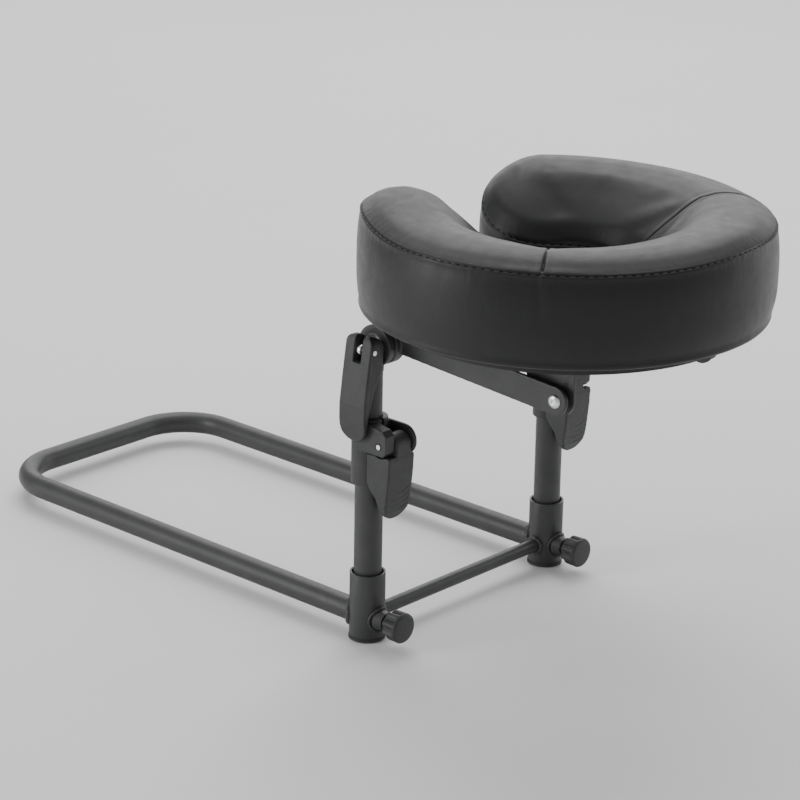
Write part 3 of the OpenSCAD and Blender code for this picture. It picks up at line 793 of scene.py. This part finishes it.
    # the sewn rows follow the finished surface
    seam_row = [i for i, o in enumerate(order) if o == ("top", 0)][0]
    rim = final[seam_row * n:(seam_row + 1) * n]
    rim_n = normal[seam_row * n:(seam_row + 1) * n]
    parts = stitches(rim, rim_n, run, whole, count)
    v, f = joined(parts)
    th = make("cushion_stitching", v, f, "thread", "platform", (), 60)
    th.parent, th.matrix_parent_inverse = ob, Matrix.Identity(4)
    return ob


def stitches(pts, nor, run, whole, count):
    """Short lengths of thread along a closed seam, each dipping into the leather at its ends."""
    pts, nor = np.vstack([pts, pts[:1]]), np.vstack([nor, nor[:1]])
    run = np.append(run, whole)
    parts = []
    for k in range(count):
        s = (k / count * whole + np.linspace(-0.31, 0.31, 7) * whole / count) % whole
        p = np.column_stack([np.interp(s, run, pts[:, i]) for i in range(3)])
        m = np.column_stack([np.interp(s, run, nor[:, i]) for i in range(3)])
        m /= np.linalg.norm(m, axis=1)[:, None]
        lift = np.array([-0.6, -0.05, 0.2, 0.28, 0.2, -0.05, -0.6]) * MM
        r = np.array([0.14, 0.28, 0.32, 0.33, 0.32, 0.28, 0.14]) * MM
        parts.append(swept(p + m * lift[:, None], r, 6, closed=False))
    return parts


# ---------- hook and loop tape ----------
def build_tapes():
    for node, mat in (("hook_strips", "hook"), ("loop_strips", "loop")):
        lo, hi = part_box(node)
        centre = np.array([0, CEN.y])
        ro = hi.x
        ri, span = ro - 0.026, math.radians(112)
        z0, z1 = lo.z + 0.00005, hi.z - 0.00005
        across = np.concatenate([[0], np.linspace(0.03, 0.97, 13), [1]])
        round_edge = np.minimum(1, np.minimum(across, 1 - across) / 0.03) ** 0.5
        verts, n = [], 240
        for a in np.linspace(-span, span, n):
            fray = 0.0002 * noise.noise(Vector((a * 60, 1.7, 0)))
            d = np.array([math.sin(a), -math.cos(a)])
            ring = [(ri + fray + (ro - ri) * t, (z0 + z1) / 2 + (z1 - z0) / 2 * e)
                    for t, e in zip(across, round_edge)]
            ring += [(r, z0 + z1 - z) for r, z in ring[-2:0:-1]]
            verts += [(*(centre + d * r), z) for r, z in ring]
        m = 2 * len(across) - 2
        faces = [(i * m + k, i * m + (k + 1) % m, (i + 1) * m + (k + 1) % m, (i + 1) * m + k)
                 for i in range(n - 1) for k in range(m)]
        faces += [tuple(range(m))[::-1], tuple((n - 1) * m + k for k in range(m))]
        make(node + "_tape", verts, faces, mat, "platform", (node,), 40)


# ---------- knobs ----------
def build_knobs():
    lo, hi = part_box("near_knob")
    cx, cz, y0, y1 = mid("near_knob").x, mid("near_knob").z, hi.y, lo.y
    R = (hi.z - lo.z) / 2
    # y from the neck to the face, radius share, how deep the grip flutes cut
    prof = [(0, .30, 0), (0, .48, 0), (-.4, .55, 0), (-1.6, .57, 0), (-2.3, .62, 0), (-2.8, .76, .2),
            (-3.3, .88, .7), (-4, .94, .95), (-5.2, .97, 1), (-7, .98, 1), (-9, .985, 1),
            (-11, .99, 1), (-13, .995, 1), (-14.2, 1, .92), (-15, 1, .6), (-15.6, 1, .22),
            (-16.1, .99, .05), (-16.7, .965, 0), (-17.2, .92, 0), (-17.55, .86, 0), (-17.75, .78, 0),
            (-17.85, .62, 0), (-17.93, .42, 0), (-17.98, .2, 0), (-18, 0, 0)]
    steps, lobes = 192, 8
    verts, faces = [], []
    for y, share, cut in prof[:-1]:
        for k in range(steps):
            w = 2 * math.pi * k / steps
            wave = (0.5 - 0.5 * math.cos(lobes * w)) ** 0.7
            r = R * share - 0.0029 * cut * (1 - wave)
            verts.append((cx + r * math.sin(w), y0 + y * MM, cz + r * math.cos(w)))
    rings = len(prof) - 1
    for i in range(rings - 1):
        for k in range(steps):
            m = (k + 1) % steps
            faces.append((i * steps + k, (i + 1) * steps + k, (i + 1) * steps + m, i * steps + m))
    tip = len(verts)
    verts.append((cx, y1, cz))
    faces += [((rings - 1) * steps + k, tip, (rings - 1) * steps + (k + 1) % steps)
              for k in range(steps)]
    faces.append(tuple(range(steps)))
    near = make("near_knob_grip", verts, faces, "plastic", "near_knob", ("near_knob",), 60)
    finish_piece("far_knob_grip", mirrored(near.data, "far_knob_grip"), "plastic", "far_knob",
                 ("far_knob",), 60)


# ---------- weld beads ----------
def build_welds():
    sock = mid("near_socket")
    R = (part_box("near_socket")[1].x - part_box("near_socket")[0].x) / 2
    tube = (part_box("loop_tube")[1].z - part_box("loop_tube")[0].z) / 2
    bar = (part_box("cross_bar")[1].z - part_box("cross_bar")[0].z) / 2
    boss_lo, boss_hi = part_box("knob_bosses")
    boss = (boss_hi.z - boss_lo.z) / 2
    parts = []
    for side in (1, -1):
        cx = sock.x * side
        for r, direction in ((tube, (0, 1)), (bar, (side, 0)), (boss, (0, -1))):
            pts = []
            for k in range(88):
                w = 2 * math.pi * k / 88
                off, z = (r + 0.0007) * math.cos(w), (r + 0.0007) * math.sin(w)
                deep = math.sqrt(R * R - off * off) + 0.0007
                dx, dy = direction
                pts.append((cx + dx * deep + dy * off, dy * deep - dx * off, z))
            size = 0.0024 if r == tube else 0.0019 if r == bar else 0.0013
            parts.append(swept(pts, size, 14, True, 0.06, 0.0035))
    v, f = joined(parts)
    make("weld_beads", v, f, "frame", "base", (), 60)


# ---------- moulded levers and clamps ----------
def build_flip_levers():
    me = moulded("near_flip_lever", 0.00055, 14)
    lo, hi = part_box("near_flip_lever")
    cx, half = (lo.x + hi.x) / 2, (hi.x - lo.x) / 2
    co = coords(me)
    front = np.clip((-co[:, 1] - 0.0235) / 0.002, 0, 1)
    u = (co[:, 0] - cx) / half
    side = np.clip((0.80 - np.abs(u)) / 0.16, 0, 1)
    cut = np.zeros(len(co))
    for k in range(4):
        z = lo.z + (0.0085 + 0.0047 * k) + 0.0062 * u * u
        cut += np.exp(-((co[:, 2] - z) / 0.0007) ** 2)
    # the hub runs down into the front face without a step
    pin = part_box("lever_pins")
    pin_z = (pin[0].z + pin[1].z) / 2
    between = np.clip((u + 0.36) / 0.05, 0, 1) * np.clip((0.78 - u) / 0.05, 0, 1)
    above = np.clip((co[:, 2] - pin_z + 0.0105) / 0.002, 0, 1)
    level = above * np.clip((pin_z + 0.0085 - co[:, 2]) / 0.0085, 0, 1) ** 0.5
    fuller = co[:, 1] - 0.0021 * between * level * np.clip((-co[:, 1] - 0.0235) / 0.004, 0, 1)
    co[:, 1] = np.where(co[:, 1] > -0.0317, np.maximum(fuller, -0.0317), co[:, 1])
    co[:, 1] += 0.00045 * cut * front * side * np.clip(0.75 + 0.45 * u, 0.25, 1)
    set_coords(me, co)
    finish_piece("far_flip_grip", mirrored(me, "far_flip_grip"), "plastic", "far_flip_lever",
                 ("far_flip_lever",), 70)
    finish_piece("near_flip_grip", me, "plastic", "near_flip_lever",
                 ("near_flip_lever",), 70)


def build_clamps():
    me = moulded("near_clamp", 0.0005, 18)
    finish_piece("far_clamp_body", mirrored(me, "far_clamp_body"), "plastic", "posts",
                 ("far_clamp",), 70)
    finish_piece("near_clamp_body", me, "plastic", "posts", ("near_clamp",), 70)


def build_cam_lever():
    me = moulded("cam_lever", 0.0005, 16)
    lo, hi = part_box("cam_lever")
    pin = mid("cam_pin")
    co = coords(me)
    # the outer face stands a little proud of the two cheeks
    t = np.clip((pin.z - co[:, 2]) / (pin.z - lo.z), 0, 1)
    face_x = pin.x - 0.0049 - 0.0062 * np.clip(t / 0.7, 0, 1) + 0.004 * np.clip((t - 0.75) / 0.25, 0, 1) ** 2
    behind = np.clip((co[:, 0] - face_x - 0.0032) / 0.0007, 0, 1)
    outer = np.clip((np.abs(co[:, 1]) - 0.0085) / 0.002, 0, 1)
    co[:, 1] -= np.sign(co[:, 1]) * 0.0008 * behind * outer
    set_coords(me, co)
    finish_piece("cam_lever_grip", me, "plastic", "cam_lever", ("cam_lever",), 70)


def build_arms():
    """Each arm with soft edges and a dome-shaped end on its hub boss."""
    me = moulded("near_arm", 0.0006, 8)
    hub, end = mid("spreader_tube"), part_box("near_arm")[1].x
    head_lo, head_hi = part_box("near_head")
    full, rounding = (head_hi.y - head_lo.y) / 2, 0.0062
    co = coords(me)
    t = np.clip((co[:, 0] - end + rounding) / rounding, 0, 1)
    limit = full - rounding * (1 - np.sqrt(1 - t * t))
    y, z = co[:, 1] - hub.y, co[:, 2] - hub.z
    r = np.hypot(y, z)
    pull = np.where((t > 0) & (r > limit), limit / np.maximum(r, 1e-6), 1)
    co[:, 1], co[:, 2] = hub.y + y * pull, hub.z + z * pull
    set_coords(me, co)
    finish_piece("far_arm_formed", mirrored(me, "far_arm_formed"), "frame", "arms",
                 ("far_arm",), 70)
    finish_piece("near_arm_formed", me, "frame", "arms", ("near_arm",), 70)


def build_heads():
    me = moulded("near_head", 0.0005, 12)
    finish_piece("far_head_forging", mirrored(me, "far_head_forging"), "frame", "risers",
                 ("far_head",), 70)
    finish_piece("near_head_forging", me, "frame", "risers", ("near_head",), 70)


def build_draw_rod():
    """The rod through the hub, with a rounded eye on the cam pin."""
    eye, far = mid("cam_pin"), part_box("draw_rod")[1].x
    R = (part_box("draw_rod")[1].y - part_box("draw_rod")[0].y) / 2
    ring = turned([(-0.0017, 0), (-0.0017, 0.0033), (-0.0012, 0.0041), (0, 0.0043), (0.0012, 0.0041),
                   (0.0017, 0.0033), (0.0017, 0)], eye, (0, 1, 0), 48)
    length = far - eye.x
    rod = turned([(0, 0), (0, R * 0.75), (0.005, R * 0.8), (0.008, R), (length - 0.001, R),
                  (length, R - 0.001), (length, 0)], eye, (1, 0, 0), 48)
    v, f = joined([ring, rod])
    make("draw_rod_turned", v, f, "bright", "risers", ("draw_rod",), 35)


def build_rivets():
    lo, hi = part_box("rivets")
    cz, cy = (lo.z + hi.z) / 2, (lo.y + hi.y) / 2
    R = (hi.z - lo.z) / 2
    arm_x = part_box("rivet_spacers")[0].x - 0.003
    parts = []
    for side in (-1, 1):
        x = lo.x if side < 0 else hi.x
        height = arm_x - lo.x
        # from the dimple in the head to the tail behind the bracket
        prof = [(0.0009, 0), (0.00075, 0.0009), (0.0003, 0.00145), (0.00005, 0.0019), (0, 0.0024),
                (0.00015, 0.0031), (0.0006, 0.0042), (0.0012, 0.0049), (height * 0.8, R * 0.985),
                (height, R), (height, 0.0040), (0.0118, 0.0040), (0.0120, 0.0053), (0.0134, 0.0053),
                (0.0140, 0.0046), (0.0142, 0.003), (0.0142, 0)]
        parts.append(turned(prof, (x, cy, cz), (-side, 0, 0), 64))
    v, f = joined(parts)
    make("rivet_pair", v, f, "bright", "arms", ("rivets",), 35)


def round_plain_metal():
    round_over("near_bracket", "platform", "frame", 0.0005, 3, "far_bracket")
    round_over("platform_board", "platform", "board", 0.0010, 3)
    round_over("near_socket", "base", "frame", 0.0004, 2, "far_socket")


# ---------- studio ----------
def area(name, place, aim, size, power, size_y):
    light = bpy.data.lights.new(name, "AREA")
    light.energy, light.size = power, size
    light.shape, light.size_y = "RECTANGLE", size_y
    ob = bpy.data.objects.new(name, light)
    ob.location = place
    ob.rotation_euler = (Vector(aim) - Vector(place)).to_track_quat("-Z", "Y").to_euler()
    scene.collection.objects.link(ob)


def studio():
    floor_z = CAD_LO.z - 0.0006
    n, r = 48, 14.0
    verts = [(r * math.cos(2 * math.pi * k / n), r * math.sin(2 * math.pi * k / n), floor_z)
             for k in range(n)] + [(0, 0, floor_z)]
    me = bpy.data.meshes.new("floor")
    me.from_pydata(verts, [], [(k, (k + 1) % n, n) for k in range(n)])
    floor = bpy.data.objects.new("floor", me)
    me.materials.append(floor_paint())
    scene.collection.objects.link(floor)
    world = bpy.data.worlds.new("studio")
    world.use_nodes = True
    world.node_tree.nodes["Background"].inputs[0].default_value = (1.0, 1.0, 1.0, 1)
    world.node_tree.nodes["Background"].inputs[1].default_value = 0.40
    scene.world = world
    aim = (0, -0.05, 0.2)
    area("key_box", (1.1, 1.0, 2.3), aim, 2.2, 36, 1.5)
    area("top_box", (0.2, 0.2, 2.7), aim, 3.0, 18, 3.0)
    area("back_box", (2.0, 1.8, 1.1), aim, 3.0, 22, 1.5)
    area("left_box", (-2.1, 1.3, 0.8), aim, 0.9, 26, 1.6)
    area("right_box", (2.1, -1.0, 0.8), aim, 0.6, 9, 1.4)


place_camera()
keep_nodes()
build_cushion()
build_tapes()
build_knobs()
build_welds()
build_flip_levers()
build_clamps()
build_cam_lever()
build_arms()
build_heads()
build_draw_rod()
build_rivets()
round_plain_metal()
studio()
